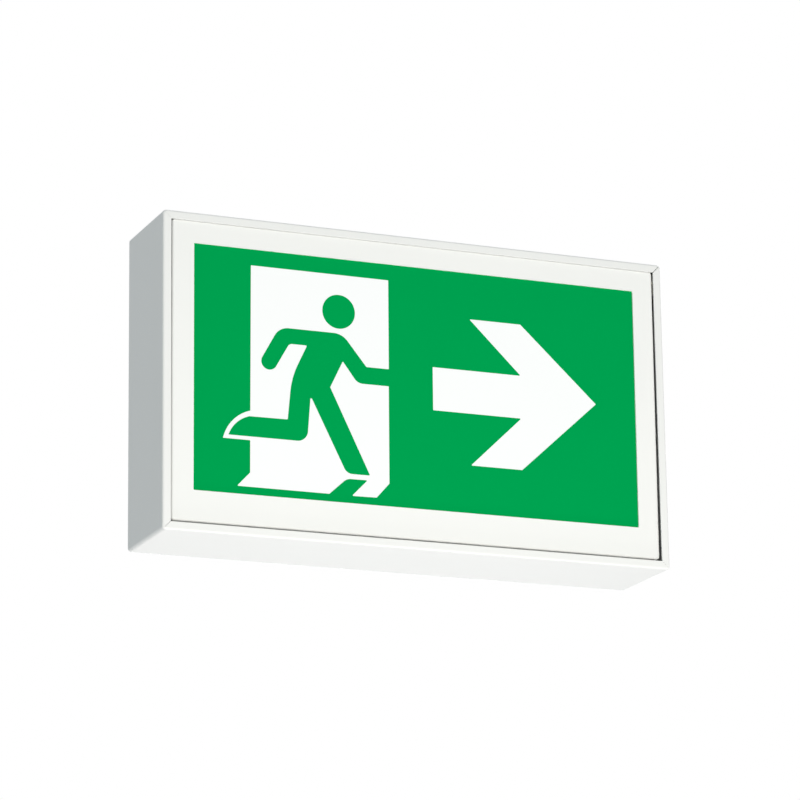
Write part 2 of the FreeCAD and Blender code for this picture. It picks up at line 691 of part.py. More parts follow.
def light_strips():
    """Two printed boards on the tray, with a row of lights under clear lenses on each."""
    save("led_board_upper", light_board(BOARD_ROWS[0]))
    save("led_board_lower", light_board(BOARD_ROWS[1]))
    chips = []
    for point in light_points():
        chips.append(block((point.x - CHIP_SIZE[0] / 2, point.x + CHIP_SIZE[0] / 2),
                           (point.y - CHIP_SIZE[1], point.y),
                           (point.z - CHIP_SIZE[2] / 2, point.z + CHIP_SIZE[2] / 2)))
    save("led_chips", *chips)
    save("led_lenses", *[light_lens(point) for point in light_points()])
    screws = []
    connectors = []
    for row in BOARD_ROWS:
        for point in board_screw_points(row):
            screws.append(screw(point, M3_RADIUS, BOARD_THICKNESS + 2 * TRAY_SHEET, M3_HEAD_RADIUS, M3_HEAD))
        connectors.append(board_connector(row))
    save("led_board_screws", *screws)
    save("led_connectors", *connectors)


def board_connector(row):
    """A two-way plug and socket at a strip's left end, with a latch rib on top."""
    length, depth, height = CONNECTOR_SIZE
    left = -BOARD_X + CONNECTOR_INSET
    shell = block((left, left + length), (BOARD_FACE - depth, BOARD_FACE), (row - height / 2, row + height / 2))
    rib = block((left + 1, left + length - 1), (BOARD_FACE - depth - 0.6, BOARD_FACE - depth),
                (row - 1.2, row + 1.2))
    return shell.fuse(rib)


# ---- Battery --------------------------------------------------------------------------------------

def battery():
    """Three cells in line, welded end to end and shrink-wrapped into one stick."""
    stick = None
    for number in range(CELL_COUNT):
        start = Vector(BATTERY_X + CELL_LENGTH * number, BATTERY_Y, BATTERY_Z)
        cell = rod(start, RIGHT, CELL_LENGTH, CELL_RADIUS)
        cell = cell.makeChamfer(CELL_NECK, [edge for edge in cell.Edges if len(edge.Vertexes) == 1])
        stick = cell if stick is None else stick.fuse(cell)
    save("battery_pack", stick)


def battery_clip(x):
    """A sprung C of steel strip, open towards the front with two turned-out lips."""
    centre = Vector(x - CLIP_WIDTH / 2, BATTERY_Y, BATTERY_Z)
    outer = CELL_RADIUS + CLIP_SHEET
    ring = tube(centre, RIGHT, CLIP_WIDTH, outer, CELL_RADIUS)
    half = math.radians(CLIP_MOUTH_DEGREES / 2)
    reach = 2 * outer
    mouth = prism([centre - RIGHT,
                   centre - RIGHT + Vector(0, -reach * math.cos(half), reach * math.sin(half)),
                   centre - RIGHT + Vector(0, -reach * math.cos(half), -reach * math.sin(half))],
                  RIGHT * (CLIP_WIDTH + 2))
    clip = ring.cut(mouth)
    for end in (1, -1):
        edge_in = centre + Vector(0, -CELL_RADIUS * math.cos(half), end * CELL_RADIUS * math.sin(half))
        edge_out = centre + Vector(0, -outer * math.cos(half), end * outer * math.sin(half))
        flare = Vector(0, -math.cos(math.radians(20)), end * math.sin(math.radians(20))) * CLIP_LIP
        clip = clip.fuse(prism([edge_in, edge_out, edge_out + flare, edge_in + flare], RIGHT * CLIP_WIDTH))
    return clip


def battery_clips():
    """One clip round the middle of each end cell, spot-welded to the back."""
    first = BATTERY_X + CELL_LENGTH / 2
    last = BATTERY_X + CELL_LENGTH * (CELL_COUNT - 0.5)
    save("battery_clips", battery_clip(first), battery_clip(last))


# ---- Converter ------------------------------------------------------------------------------------

def converter():
    """A moulded case on two ears, its snap-on lid and its two screws."""
    length, depth, height = CONVERTER_SIZE
    x_range = (CONVERTER_X, CONVERTER_X + length)
    z_range = (CONVERTER_Z - height / 2, CONVERTER_Z + height / 2)
    face = BACK - depth
    case = fillet(block(x_range, (face, BACK), z_range), CONVERTER_RADIUS, runs_along(OUT))
    ear_z = (CONVERTER_Z - CONVERTER_EAR_HEIGHT / 2, CONVERTER_Z + CONVERTER_EAR_HEIGHT / 2)
    ears = block((x_range[0] - CONVERTER_EAR, x_range[1] + CONVERTER_EAR),
                 (BACK - CONVERTER_EAR_THICKNESS, BACK), ear_z)
    case = case.fuse(fillet(ears, CONVERTER_RADIUS, runs_along(OUT)))
    screws = []
    for x in (x_range[0] - CONVERTER_EAR / 2, x_range[1] + CONVERTER_EAR / 2):
        seat = Vector(x, BACK - CONVERTER_EAR_THICKNESS, CONVERTER_Z)
        case = case.cut(rod(seat, INTO_WALL, CONVERTER_EAR_THICKNESS, M3_RADIUS))
        screws.append(screw(seat, M3_RADIUS, CONVERTER_EAR_THICKNESS, M3_HEAD_RADIUS, M3_HEAD))
    save("converter_case", case)
    lid = block(x_range, (face - CONVERTER_LID, face), z_range)
    lid = fillet(lid, CONVERTER_RADIUS, runs_along(OUT))
    lid = fillet(lid, CONVERTER_LID * 0.4, lies_at_y(face - CONVERTER_LID))
    save("converter_lid", lid)
    save("converter_screws", *screws)


# ---- Mains terminals and earth --------------------------------------------------------------------

def pole_z(number):
    """Poles run from the top down: live, neutral, earth and spare."""
    return BLOCK_UP + POLE_PITCH * ((POLE_COUNT - 1) / 2 - number)


def terminal_block():
    """A moulded block with a cable hole and a clamping screw for each pole."""
    half_height = POLE_PITCH * POLE_COUNT / 2
    moulding = block((BLOCK_X, BLOCK_X + BLOCK_WIDTH), (BACK - BLOCK_BASE, BACK),
                     (BLOCK_UP - half_height, BLOCK_UP + half_height))
    screws = []
    for number in range(POLE_COUNT):
        z = pole_z(number)
        pole = block((BLOCK_X, BLOCK_X + BLOCK_WIDTH), (BLOCK_FACE, BACK - BLOCK_BASE),
                     (z - POLE_BODY / 2, z + POLE_BODY / 2))
        pole = fillet(pole, 1.2, lies_at_y(BLOCK_FACE))
        cable = rod(Vector(BLOCK_X + BLOCK_WIDTH, pole_y(), z), LEFT, CABLE_HOLE_DEPTH, CABLE_HOLE_RADIUS)
        screw_seat = Vector(BLOCK_X + BLOCK_WIDTH / 2, BLOCK_FACE, z)
        well = rod(screw_seat, INTO_WALL, CLAMP_SCREW_DEPTH, CLAMP_SCREW_RADIUS)
        moulding = moulding.fuse(pole.cut(cable).cut(well))
        screws.append(clamp_screw(screw_seat + INTO_WALL * 1.0))
    save("terminal_block", moulding.removeSplitter())
    save("terminal_screws", *screws)


def pole_y():
    """The depth at which cables enter the terminal block."""
    return (BLOCK_FACE + BACK - BLOCK_BASE) / 2


def clamp_screw(seat):
    body = rod(seat, INTO_WALL, CLAMP_SCREW_DEPTH - 1.0, CLAMP_SCREW_RADIUS)
    slot = block((seat.x - 2, seat.x + 2), (seat.y - 1, seat.y + 0.8), (seat.z - 0.3, seat.z + 0.3))
    return body.cut(slot)


def earth_point():
    """A stud welded to the back, with a ring tag clamped between a washer and a nut."""
    seat = Vector(EARTH_X, BACK, pole_z(2))
    save("earth_stud", rod(seat, OUT, EARTH_STUD_LENGTH, M4_RADIUS))
    washer_seat = seat
    washer = tube(washer_seat, OUT, WASHER, WASHER_RADIUS, M4_RADIUS)
    tag_seat = washer_seat + OUT * WASHER
    eye = tube(tag_seat, OUT, TAG, TAG_RADIUS, M4_RADIUS)
    neck = block((EARTH_X - TAG_REACH, EARTH_X - M4_RADIUS - 0.5), (tag_seat.y - TAG, tag_seat.y),
                 (seat.z - 1.6, seat.z + 1.6))
    barrel = rod(Vector(EARTH_X - TAG_REACH - 5.0, tag_seat.y - 1.6, seat.z), RIGHT, 5.6, 1.6)
    save("earth_tag", eye.fuse(neck).fuse(barrel))
    upper = tube(tag_seat + OUT * TAG, OUT, WASHER, WASHER_RADIUS, M4_RADIUS)
    nut_seat = tag_seat + OUT * (TAG + WASHER)
    save("earth_nut_and_washers", washer, upper, nut(nut_seat, M4_NUT_FLATS, M4_NUT, M4_RADIUS))


# ---- Test switch and status light -----------------------------------------------------------------

def test_switch():
    """A push switch through the right-hand wall: barrel, inside nut and the sprung button."""
    inside = SWITCH_CENTRE + LEFT * SHEET
    barrel = rod(SWITCH_CENTRE, LEFT, SWITCH_LENGTH, SWITCH_RADIUS)
    bezel = rod(SWITCH_CENTRE, RIGHT, SWITCH_BEZEL, SWITCH_BEZEL_RADIUS)
    outer_rim = [edge for edge in bezel.Edges if edge.BoundBox.XMin > WIDTH / 2 + SWITCH_BEZEL - 0.01]
    bezel = bezel.makeFillet(SWITCH_BEZEL * 0.5, outer_rim)
    body = barrel.fuse(bezel)
    mouth = SWITCH_CENTRE + RIGHT * SWITCH_BEZEL
    body = body.cut(rod(mouth, LEFT, BUTTON_STEM + BUTTON_TRAVEL + 0.5, BUTTON_RADIUS + BUTTON_RUNNING_FIT))
    for side in (-1, 1):
        centre = SWITCH_CENTRE + LEFT * SWITCH_LENGTH + UP * (side * SWITCH_LUG_PITCH / 2)
        body = body.fuse(block((centre.x - SWITCH_LUG[0], centre.x),
                               (centre.y - SWITCH_LUG[1] / 2, centre.y + SWITCH_LUG[1] / 2),
                               (centre.z - SWITCH_LUG[2] / 2, centre.z + SWITCH_LUG[2] / 2)))
    save("test_switch_body", body)
    ring = hexagon(Vector(0, 0, 0), SWITCH_NUT_FLATS, OUT * SWITCH_NUT)
    ring = ring.cut(rod(Vector(0, 0, 0), OUT, SWITCH_NUT, SWITCH_RADIUS))
    ring.rotate(Vector(0, 0, 0), UP, -90)
    ring.translate(inside)
    save("test_switch_nut", ring)
    button = rod(mouth + RIGHT * BUTTON_PROUD, LEFT, BUTTON_PROUD + BUTTON_STEM, BUTTON_RADIUS)
    tip = [edge for edge in button.Edges if edge.BoundBox.XMin > mouth.x + BUTTON_PROUD - 0.01]
    save("test_button", button.makeFillet(1.0, tip))


def status_light():
    """A green indicator lamp in a chromed holder beside the test switch."""
    flange = rod(STATUS_CENTRE, RIGHT, HOLDER_FLANGE, HOLDER_FLANGE_RADIUS)
    rim = [edge for edge in flange.Edges if edge.BoundBox.XMin > WIDTH / 2 + HOLDER_FLANGE - 0.01]
    flange = flange.makeFillet(HOLDER_FLANGE * 0.6, rim)
    holder = flange.fuse(rod(STATUS_CENTRE, LEFT, HOLDER_LENGTH, HOLDER_RADIUS))
    mouth = STATUS_CENTRE + RIGHT * HOLDER_FLANGE
    holder = holder.cut(rod(mouth, LEFT, HOLDER_FLANGE + HOLDER_LENGTH, STATUS_RADIUS))
    save("status_light_holder", holder)
    lamp_end = STATUS_CENTRE + LEFT * (HOLDER_LENGTH - 1.0)
    lamp = rod(lamp_end, RIGHT, HOLDER_LENGTH - 1.0 + HOLDER_FLANGE + STATUS_PROUD - STATUS_RADIUS, STATUS_RADIUS)
    dome = Part.makeSphere(STATUS_RADIUS, mouth + RIGHT * (STATUS_PROUD - STATUS_RADIUS))
    save("status_light", lamp.fuse(dome))


# ---- Leads ----------------------------------------------------------------------------------------

def converter_end(side, height):
    """A lead's outlet on the converter's left (-1) or right (1) end, height above its centre."""
    x = CONVERTER_X if side < 0 else CONVERTER_X + CONVERTER_SIZE[0]
    return Vector(x, BACK - CONVERTER_SIZE[1] * 0.6, CONVERTER_Z + height)


def battery_leads():
    """Both leads leave the stick's left end and climb to the converter, the upper one inside."""
    for name, height, out, level in (("battery_lead_positive", 4.0, 14.0, -13.0),
                                     ("battery_lead_negative", -4.0, 18.0, -9.0)):
        start = Vector(BATTERY_X, BATTERY_Y, BATTERY_Z + height)
        finish = converter_end(-1, level)
        x = BATTERY_X - out
        climb = finish.z - start.z
        route = [start,
                 start + Vector(-out * 0.6, 0, 0),
                 Vector(x, BATTERY_Y + 0.6, start.z + out * 0.7),
                 Vector(x - 2, BATTERY_Y + 1.6, start.z + climb * 0.38),
                 Vector(x - 0.5, BATTERY_Y + 0.8, start.z + climb * 0.7),
                 Vector(x + 3, BATTERY_Y, finish.z - 9),
                 finish + Vector(-10, 0, 0),
                 finish]
        save(name, lead(route, LEAD_RADIUS))


def mains_leads():
    """Live and neutral cross from the converter's right end to the top two poles."""
    for name, number, level in (("mains_lead_live", 0, -6.0), ("mains_lead_neutral", 1, -12.0)):
        start = converter_end(1, level)
        finish = Vector(BLOCK_X, pole_y(), pole_z(number))
        drop = finish.z - start.z
        span = finish.x - start.x
        route = [start,
                 start + Vector(span * 0.25, 0, 0.4),
                 start + Vector(span * 0.5, 0.6, drop * 0.35),
                 finish + Vector(-span * 0.25, 0, -drop * 0.08),
                 finish]
        save(name, lead(route, LEAD_RADIUS))


def earth_lead():
    """A short lead from the earth pole to the tag on the stud."""
    pole = Vector(BLOCK_X + BLOCK_WIDTH, BACK - BLOCK_BASE - 3.0, pole_z(2) - 2.9)
    finish = Vector(EARTH_X - TAG_REACH - 5.0, BACK - WASHER - 1.6, pole_z(2))
    span = finish.x - pole.x
    route = [pole,
             pole + Vector(span * 0.3, 0.2, 0),
             finish + Vector(-span * 0.3, 0, -0.2),
             finish]
    save("earth_lead", lead(route, LEAD_RADIUS))


def led_leads():
    """A pair for each strip: from its plug, round through the tray and back to the converter."""
    plug_x = -BOARD_X + CONNECTOR_INSET
    for name, offset in (("led_leads_positive", 1.3), ("led_leads_negative", -1.3)):
        solids = []
        for row, level in ((BOARD_ROWS[0], 12.0), (BOARD_ROWS[1], 3.0)):
            start = Vector(plug_x, BOARD_FACE - CONNECTOR_SIZE[1] / 2, row + offset)
            finish = converter_end(-1, level + offset)
            column = LEAD_HOLE_X - offset * 0.8
            through = Vector(column, TRAY_BACK + 6, row + offset)
            rise = finish.z - through.z
            route = [start, Vector(column, start.y, start.z), through]
            if abs(rise) > 30:
                route += [through + Vector(1, 6, rise * 0.15),
                          through + Vector(0, 8, rise * 0.45),
                          through + Vector(2, 7, rise * 0.75)]
            else:
                route += [through + Vector(3, 7, rise * 0.35)]
            route += [finish + Vector(-14, 0, 0), finish]
            solids.append(lead(route, FINE_LEAD_RADIUS))
        save(name, *solids)


def control_leads():
    """Pairs from the test switch and the status light, over the terminals to the converter."""
    lugs = SWITCH_CENTRE + LEFT * (SWITCH_LENGTH + SWITCH_LUG[0])
    lamp = STATUS_CENTRE + LEFT * (HOLDER_LENGTH - 1.0)
    over_y = BLOCK_FACE - 4.5
    block_right = BLOCK_X + BLOCK_WIDTH
    for name, start, spread, run_in, level, order in (
            ("test_switch_leads", lugs, SWITCH_LUG_PITCH / 2, -10.0, 3.0, 0),
            ("status_light_leads", lamp, STATUS_LEG_PITCH / 2, -16.0, 9.0, 1)):
        solids = []
        for side in (1, -1):
            first = start + UP * (side * spread)
            finish = converter_end(1, level + side * 1.4)
            shift = Vector(0, -0.9 * side - 4.2 * order, 0)
            route = [first,
                     first + Vector(run_in, 0, 0),
                     Vector(block_right + 34 - 6 * order, (first.y + over_y) / 2 - 1.2 * side, first.z + 5),
                     Vector(block_right + 12, over_y, -12 - 8 * order) + shift,
                     Vector(block_right - 4, over_y, 14 - 3 * order + 1.2 * side) + shift,
                     Vector(BLOCK_X, over_y + 1, (14 + finish.z) / 2) + shift,
                     Vector((BLOCK_X + finish.x) / 2, (over_y + finish.y) / 2 + shift.y / 2, finish.z),
                     finish]
            solids.append(lead(route, FINE_LEAD_RADIUS))
        save(name, *solids)


def main():
    os.makedirs("parts", exist_ok=True)
    housing()
    cable_entries()
    hinge_brackets()
    door_frame()
    hinge_pins()
    legend_plate()
    plate_fixings()
    magnetic_catches()
    gear_tray()
    tray_grommets()
    tray_mounting()
    light_strips()
    battery()
    battery_clips()
    converter()
    terminal_block()
    earth_point()
    test_switch()
    status_light()
    battery_leads()
    mains_leads()
    earth_lead()
    led_leads()
    control_leads()


main()
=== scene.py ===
"""Looks of a wall-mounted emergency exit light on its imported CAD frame. Metres, +Z up, wall at Y = 0."""

import math

import bmesh
import bpy
from mathutils import Matrix, Vector


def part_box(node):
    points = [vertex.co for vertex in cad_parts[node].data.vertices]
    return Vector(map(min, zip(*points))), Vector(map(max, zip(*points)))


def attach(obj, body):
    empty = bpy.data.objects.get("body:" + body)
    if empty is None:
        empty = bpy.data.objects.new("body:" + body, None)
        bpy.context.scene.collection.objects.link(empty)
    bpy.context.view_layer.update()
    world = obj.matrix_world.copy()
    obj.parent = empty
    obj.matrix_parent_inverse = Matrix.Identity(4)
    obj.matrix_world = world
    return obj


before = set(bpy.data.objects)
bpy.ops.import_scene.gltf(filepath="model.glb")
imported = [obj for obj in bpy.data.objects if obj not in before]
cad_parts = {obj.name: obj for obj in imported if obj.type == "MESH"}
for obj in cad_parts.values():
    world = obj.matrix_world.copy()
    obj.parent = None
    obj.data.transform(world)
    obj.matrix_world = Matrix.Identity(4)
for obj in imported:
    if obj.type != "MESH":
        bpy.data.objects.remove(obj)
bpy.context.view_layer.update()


# ---- Housing --------------------------------------------------------------------------------------
# One steel sheet, folded into a back, four walls and a narrow lip round the front, with a hairline
# mitre at each corner. It's powder-coated white after folding: a satin film with a faint orange peel.

class Value:
    """One output of a node tree. Sums on it add Math nodes, and node() adds any other node."""

    def __init__(self, tree, socket=None):
        self.tree = tree
        self.socket = socket

    def node(self, kind, settings=None, inputs=None, output=0):
        """Makes its settings first, and then gives each input a number, a colour or another value."""
        made = self.tree.nodes.new(kind)
        for name, setting in (settings or {}).items():
            setattr(made, name, setting)
        for name, value in (inputs or {}).items():
            socket = made.inputs[name]
            if isinstance(value, Value):
                self.tree.links.new(value.socket, socket)
            elif socket.type == "RGBA":
                socket.default_value = (*value, 1)
            else:
                socket.default_value = value
        return Value(self.tree, made.outputs[output])

    def math(self, operation, *numbers):
        return self.node("ShaderNodeMath", {"operation": operation}, dict(enumerate(numbers)))

    def __add__(self, other):
        return self.math("ADD", self, other)

    def __radd__(self, other):
        return self.math("ADD", other, self)

    def __sub__(self, other):
        return self.math("SUBTRACT", self, other)

    def __rsub__(self, other):
        return self.math("SUBTRACT", other, self)

    def __mul__(self, other):
        return self.math("MULTIPLY", self, other)

    def __rmul__(self, other):
        return self.math("MULTIPLY", other, self)

    def size(self):
        """The value without its sign."""
        return self.math("ABSOLUTE", self)

    def beyond(self, edge, softness):
        """0 below an edge and 1 beyond it, with a soft step between."""
        return self.node("ShaderNodeMapRange", {"interpolation_type": "SMOOTHSTEP"}, {
            "Value": self, "From Min": edge - softness / 2, "From Max": edge + softness / 2})

    def within(self, low, high, softness):
        """1 between two edges and 0 outside them."""
        return self.beyond(low, softness) - self.beyond(high, softness)

    def repeat(self, pitch):
        """The distance from the nearest whole multiple of a pitch."""
        return self.math("FLOORED_MODULO", self + pitch / 2, pitch) - pitch / 2


class Finish:
    """A procedural material. What is the same all over sits on its shader; feed() links what varies."""

    def __init__(self, name, constants):
        self.material = bpy.data.materials.new(name)
        self.material.use_nodes = True
        self.shader = self.material.node_tree.nodes["Principled BSDF"]
        for socket, value in constants.items():
            self.shader.inputs[socket].default_value = value
        self.place = Value(self.material.node_tree).node("ShaderNodeTexCoord", output="Object")

    def along(self, axis, centre=0.0):
        """The distance along X, Y or Z from a centre, in millimetres."""
        metres = self.place.node("ShaderNodeSeparateXYZ", None, {0: self.place}, axis)
        return 1000.0 * metres - centre

    def grain(self, size, detail=2.0, longer=(1, 1, 1)):
        """Smooth noise from 0 to 1, with grains of a size in millimetres, drawn out along each axis."""
        stretched = self.place.node("ShaderNodeMapping", None, {
            "Vector": self.place, "Scale": [1000 / (size * times) for times in longer]})
        return self.place.node("ShaderNodeTexNoise", None, {
            "Vector": stretched, "Scale": 1.0, "Detail": detail})

    def blend(self, share, first, second):
        """A colour between two colours."""
        return self.place.node("ShaderNodeMix", {"data_type": "RGBA"}, {0: share, 6: first, 7: second}, 2)

    def feed(self, socket, value):
        self.material.node_tree.links.new(value.socket, self.shader.inputs[socket])

    def raise_by(self, height, millimetres):
        """Makes the surface stand up by a height from 0 to 1 times a number of millimetres."""
        self.feed("Normal", self.place.node("ShaderNodeBump", None, {
            "Height": height, "Distance": millimetres / 1000}))


def coat(finish, *nodes):
    """Gives CAD nodes a finish in place of the plain one they came with."""
    for name in nodes:
        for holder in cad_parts[name].material_slots:
            holder.material = finish.material


def shade_of(colour, times):
    return [times * part for part in colour]


def powder_coat(name, colour, peel_size):
    """Sprayed and baked powder: shallow orange peel, fine grit and a slightly cloudy sheen."""
    paint = Finish(name, {"Specular IOR Level": 0.3})
    peel = paint.grain(peel_size, 1.0)
    grit = paint.grain(0.4)
    clouds = paint.grain(50.0, 1.0)
    paint.feed("Base Color", paint.blend(clouds, colour, shade_of(colour, 0.985)))
    paint.feed("Roughness", 0.42 + 0.1 * peel + 0.06 * grit)
    paint.raise_by(0.75 * peel + 0.25 * grit, 0.03)
    return paint


case_white = (0.86, 0.868, 0.853)
coat(powder_coat("white powder coat", case_white, 2.2), "housing")


# ---- Cable entries --------------------------------------------------------------------------------
# A moulded rubber grommet sprung into the back, where the mains cable comes out of the wall, and a
# nylon plug pushed into the spare entry in the top wall, with its moulding gate at the centre.

def rubber(name, nodes):
    """Dull black rubber, with a bloom of dust in its pores."""
    black = Finish(name, {"Specular IOR Level": 0.3})
    pores = black.grain(0.5, 4.0)
    bloom = black.grain(4.0, 3.0).beyond(0.58, 0.3)
    black.feed("Base Color", black.blend(bloom, (0.018, 0.018, 0.02), (0.045, 0.045, 0.044)))
    black.feed("Roughness", 0.55 + 0.25 * pores)
    black.raise_by(pores, 0.04)
    coat(black, *nodes)


rubber("moulded rubber", ["cable_grommet"])


def moulded(name, colour, gloss, texture=0.35):
    """Injection-moulded plastic with a spark-eroded texture, and a colour that is a little uneven."""
    plastic = Finish(name, {"Specular IOR Level": 0.45})
    spark = plastic.grain(texture, 3.0)
    flow = plastic.grain(14.0, 2.0, (2.5, 1, 1))
    plastic.feed("Base Color", plastic.blend(flow, shade_of(colour, 0.96), shade_of(colour, 1.03)))
    plastic.feed("Roughness", gloss + 0.16 * spark)
    plastic.spark = spark
    plastic.raise_by(spark, 0.025)
    return plastic


gate_radius = 0.8
ring_inside, ring_outside = 9.0, 9.6

plug_nylon = moulded("white nylon plug", (0.8, 0.8, 0.765), 0.36)
plug_low, plug_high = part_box("top_entry_plug")
plug_x, plug_y = [500 * (plug_low[axis] + plug_high[axis]) for axis in (0, 1)]
from_gate = plug_nylon.place.node("ShaderNodeVectorMath", {"operation": "DISTANCE"}, {
    0: plug_nylon.place, 1: (plug_x / 1000, plug_y / 1000, plug_high[2])}, "Value") * 1000.0
gate = 1 - from_gate.beyond(gate_radius, 0.3)
ring = from_gate.within(ring_inside, ring_outside, 0.3)
plug_nylon.raise_by(0.12 * plug_nylon.spark - 0.6 * gate - 0.5 * ring, 0.2)
coat(plug_nylon, "top_entry_plug")


# ---- Gear tray ------------------------------------------------------------------------------------
# A folded plate on four hexagonal pillars that are welded to the back. It's sprayed a dead matt,
# very bright white, so that it throws the light of the strips forwards. Its lead holes have rings.

reflector = Finish("matt reflector white", {"Specular IOR Level": 0.15})
speckle = reflector.grain(0.3, 3.0)
drift = reflector.grain(60.0, 1.0)
reflector.feed("Base Color", reflector.blend(drift, (0.87, 0.87, 0.86), (0.85, 0.852, 0.845)))
reflector.feed("Roughness", 0.72 + 0.18 * speckle)
reflector.raise_by(speckle, 0.04)
coat(reflector, "gear_tray")
rubber("moulded rubber rings", ["tray_grommets"])


def zinc(name, *nodes, brushed=(1, 1, 1)):
    """Bright zinc plate: cold and warm clouds of its passivated film over faintly drawn steel."""
    plate = Finish(name, {"Metallic": 1.0})
    film = plate.grain(5.0, 2.0).beyond(0.5, 0.35)
    drawn = plate.grain(0.35, 3.0, brushed)
    spots = plate.grain(1.1, 3.0).beyond(0.66, 0.12)
    tint = plate.blend(film, (0.6, 0.635, 0.69), (0.7, 0.675, 0.6))
    plate.feed("Base Color", plate.blend(0.6 * spots, tint, (0.42, 0.43, 0.44)))
    plate.feed("Roughness", 0.3 + 0.12 * drawn + 0.12 * spots)
    plate.raise_by(drawn, 0.012)
    coat(plate, *nodes)


zinc("zinc plate on the tray's pillars", "tray_pillars", brushed=(1, 12, 1))
zinc("zinc plate on the tray's screws", "tray_screws")


# ---- Light strips ---------------------------------------------------------------------------------
# Printed boards with a white solder mask over copper tracks, screwed to the tray. Each holds seven
# white light packages under clear domes, a two-way plug, and a resistor beside each light but one.

light_pitch = 41.0
light_count = 7
rail_inside, rail_outside = 3.4, 4.6
rail_short_of_end = 6.0
link_inside, link_outside = 3.0, 4.4
phosphor_half_width, phosphor_half_height = 1.25, 0.95
mask_white = (0.86, 0.875, 0.85)


def strip_board(node):
    """White mask that stands up over the tracks, and bare glass fibre on the sawn edges."""
    low, high = [[1000 * part for part in corner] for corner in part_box(node)]
    board = Finish("solder mask on " + node, {"Specular IOR Level": 0.5})
    x = board.along("X")
    off_centre = board.along("Z", (low[2] + high[2]) / 2).size()
    short_of_end = 1 - x.size().beyond(high[0] - rail_short_of_end, 0.3)
    rails = off_centre.within(rail_inside, rail_outside, 0.15) * short_of_end
    from_light = x.repeat(light_pitch).size()
    links = off_centre.within(1.0, 4.0, 0.15) * from_light.within(link_inside, link_outside, 0.15)
    copper = rails.math("MAXIMUM", rails, links)
    sawn = off_centre.beyond((high[2] - low[2]) / 2 - 0.05, 0.04)
    weave = board.grain(0.5, 1.0, (4, 1, 1))
    mask = board.blend(copper, mask_white, (0.8, 0.83, 0.79))
    board.feed("Base Color", board.blend(sawn, mask, (0.62, 0.6, 0.42)))
    board.feed("Roughness", 0.3 + 0.1 * weave + 0.35 * sawn)
    board.raise_by(0.9 * copper + 0.1 * weave, 0.05)
    coat(board, node)
    return (low[2] + high[2]) / 2


upper_row, lower_row = [strip_board(node) for node in ("led_board_upper", "led_board_lower")]

package = Finish("light package", {"Specular IOR Level": 0.4, "Emission Strength": 0.35})
aside = package.along("X").repeat(light_pitch).size()
above = package.along("Z", lower_row).repeat(upper_row - lower_row).size()
phosphor = (1 - aside.beyond(phosphor_half_width, 0.2)) * (1 - above.beyond(phosphor_half_height, 0.2))
glaze = package.grain(0.2)
package.feed("Base Color", package.blend(phosphor, (0.87, 0.87, 0.84), (0.86, 0.66, 0.12)))
package.feed("Emission Color", package.blend(phosphor, (0.0, 0.0, 0.0), (1.0, 0.9, 0.62)))
package.feed("Roughness", 0.25 + 0.2 * glaze)
package.raise_by(0.2 * glaze - 0.8 * phosphor, 0.2)
coat(package, "led_chips")

# The domes' pale colour shows through a faint veil face-on, and more strongly where they turn away at
# their rims: that growing rim whiteness is a painted reflection.
shown_face_on, rim_reflection_painted = 0.08, 0.5

clear = Finish("clear acrylic", {"IOR": 1.49})
flow_lines = clear.grain(3.0)
glued = clear.along("Y").beyond(1000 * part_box("led_lenses")[1][1] - 0.05, 0.02)
turned_away = clear.place.node("ShaderNodeLayerWeight", None, {"Blend": 0.5}, "Facing")
body = clear.blend(flow_lines, (0.86, 0.9, 0.93), (0.9, 0.92, 0.93))
clear.feed("Base Color", clear.blend(glued, body, mask_white))
clear.feed("Roughness", 0.03 + 0.05 * flow_lines + 0.3 * glued)
veil_and_painted_rim_reflection = shown_face_on + rim_reflection_painted * turned_away * turned_away
clear.feed("Alpha", clear.place.math("MAXIMUM", glued, veil_and_painted_rim_reflection))
clear.raise_by(flow_lines, 0.02)
coat(clear, "led_lenses")

zinc("zinc plate on the strips' screws", "led_board_screws")
coat(moulded("natural nylon plugs", (0.83, 0.8, 0.69), 0.4), "led_connectors")


def start_afresh():
    """Ends any editing, with nothing selected."""
    if bpy.context.object and bpy.context.object.mode != "OBJECT":
        bpy.ops.object.mode_set(mode="OBJECT")
    bpy.ops.object.select_all(action="DESELECT")


def settle(piece, place=Matrix.Identity(4)):
    """Moves a piece's own place, and then another, into its mesh."""
    piece.data.transform(place @ piece.matrix_basis)
    piece.matrix_basis = Matrix.Identity(4)


def pick_faces(piece, wanted):
    """Selects, in edit mode, the faces whose centre and normal pass a test."""
    bpy.ops.mesh.select_mode(type="FACE")
    shape = bmesh.from_edit_mesh(piece.data)
    for face in shape.faces:
        face.select_set(bool(wanted(face.calc_center_median(), face.normal)))
    shape.select_flush_mode()
    bmesh.update_edit_mesh(piece.data)


def tinned(name):
    """Solder, wetted over a metal end."""
    tin = Finish(name, {"Metallic": 1.0})
    frost = tin.grain(0.12, 3.0)
    tin.feed("Base Color", tin.blend(frost, (0.58, 0.59, 0.6), (0.74, 0.75, 0.76)))
    tin.feed("Roughness", 0.2 + 0.25 * frost)
    tin.raise_by(frost, 0.01)
    return tin


resistor_length, resistor_width, resistor_height = 0.002, 0.00125, 0.0005
resistor_cap = 0.0004
resistor_rounding = 0.00004
solder_reach = 0.0004
resistor_beside_light = 9.0
resistor_above_row = 2.2

